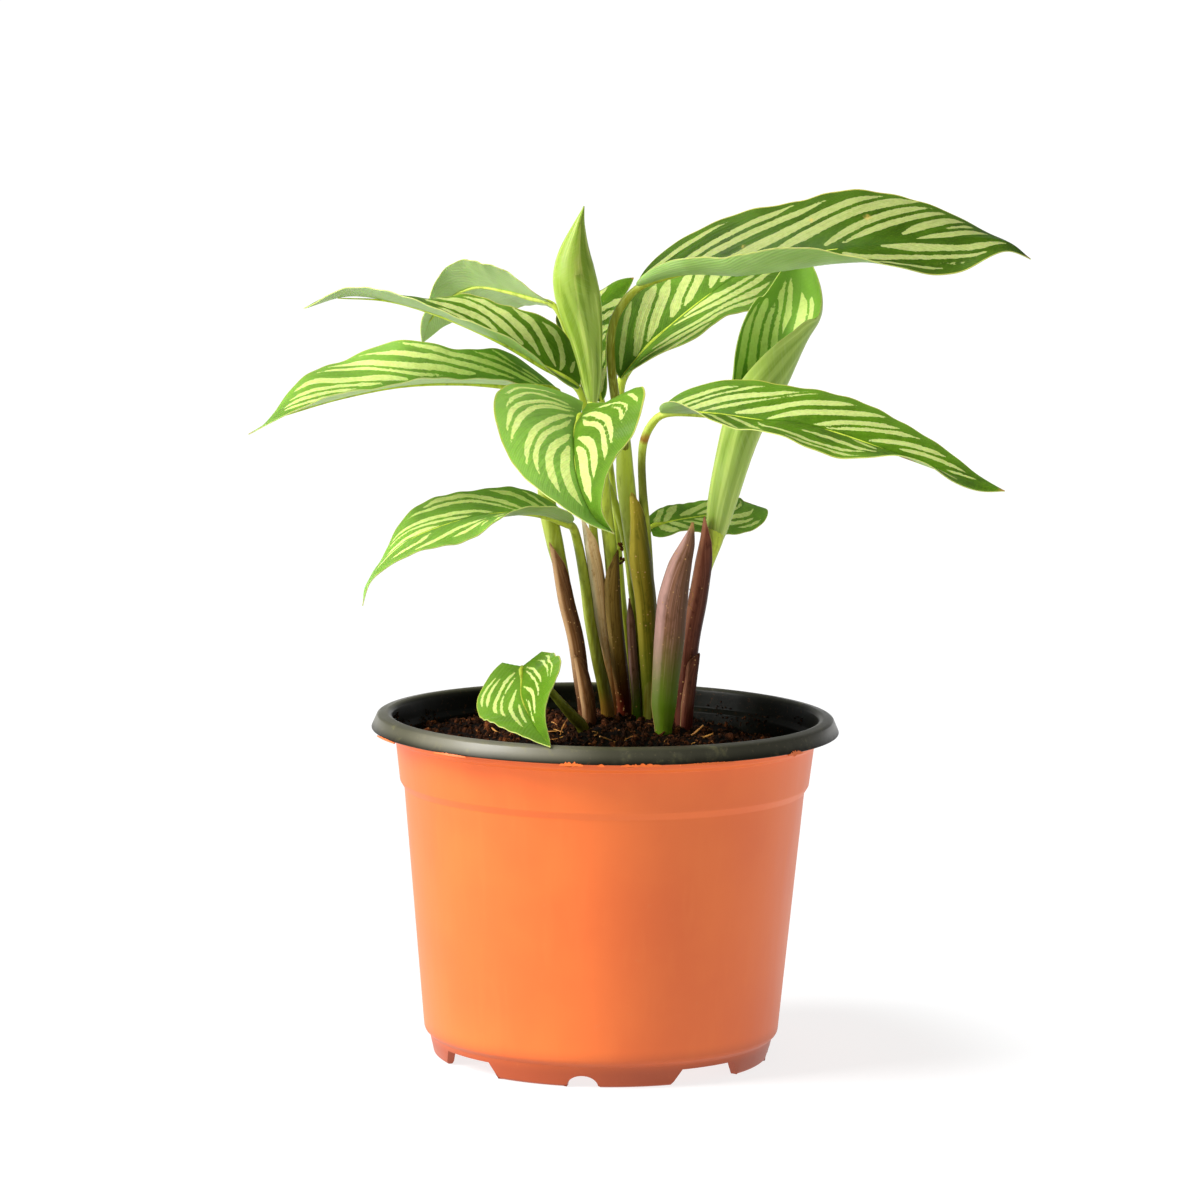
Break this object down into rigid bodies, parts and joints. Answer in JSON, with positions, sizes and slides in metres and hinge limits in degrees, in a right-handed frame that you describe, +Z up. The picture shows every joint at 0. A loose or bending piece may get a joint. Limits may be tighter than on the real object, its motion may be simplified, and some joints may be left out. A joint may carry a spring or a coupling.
{
  "type": "potted calathea plant",
  "caption": "Potted calathea with striped lance-shaped leaves on upright stalks, rolled young leaves and brown stalk sheaths, in a plain round plastic nursery pot that stands on feet.",
  "frame": {"origin": "on the floor under the middle of the whole plant's outline; the pot's upright axis stands 9.5 mm to the -X side of it", "axes": "+Z up, -Y is the side that the picture sees, +X to that view's right"},
  "size_m": [0.2675, 0.165, 0.3078],
  "materials": {
    "leaf": "satin",
    "spear": "satin",
    "brown_sheath": "satin",
    "pink_sheath": "satin",
    "dry_sheath": "matte",
    "soil": "matte",
    "terracotta_plastic": "satin",
    "black_plastic": "satin"
  },
  "bodies": {
    "root": {"frond_upper_right": "leaf", "frond_mid_right": "leaf", "furled_right": "spear", "furled_spear": "spear", "frond_back_left": "leaf", "frond_upper_left": "leaf", "frond_mid_left": "leaf", "frond_front": "leaf", "frond_low_left": "leaf", "frond_low_right": "leaf", "frond_small_front": "leaf", "frond_behind_spear": "leaf", "sheath_left": "brown_sheath", "sheath_left_small": "brown_sheath", "sheath_dry": "dry_sheath", "sheath_spear": "brown_sheath", "sheath_right_middle": "brown_sheath", "sheath_right": "brown_sheath", "sheath_right_small": "brown_sheath", "bud_middle": "brown_sheath", "bud_front": "pink_sheath", "soil": "soil", "pot_outer": "terracotta_plastic", "pot_lining": "black_plastic"}
  },
  "joints": []
}
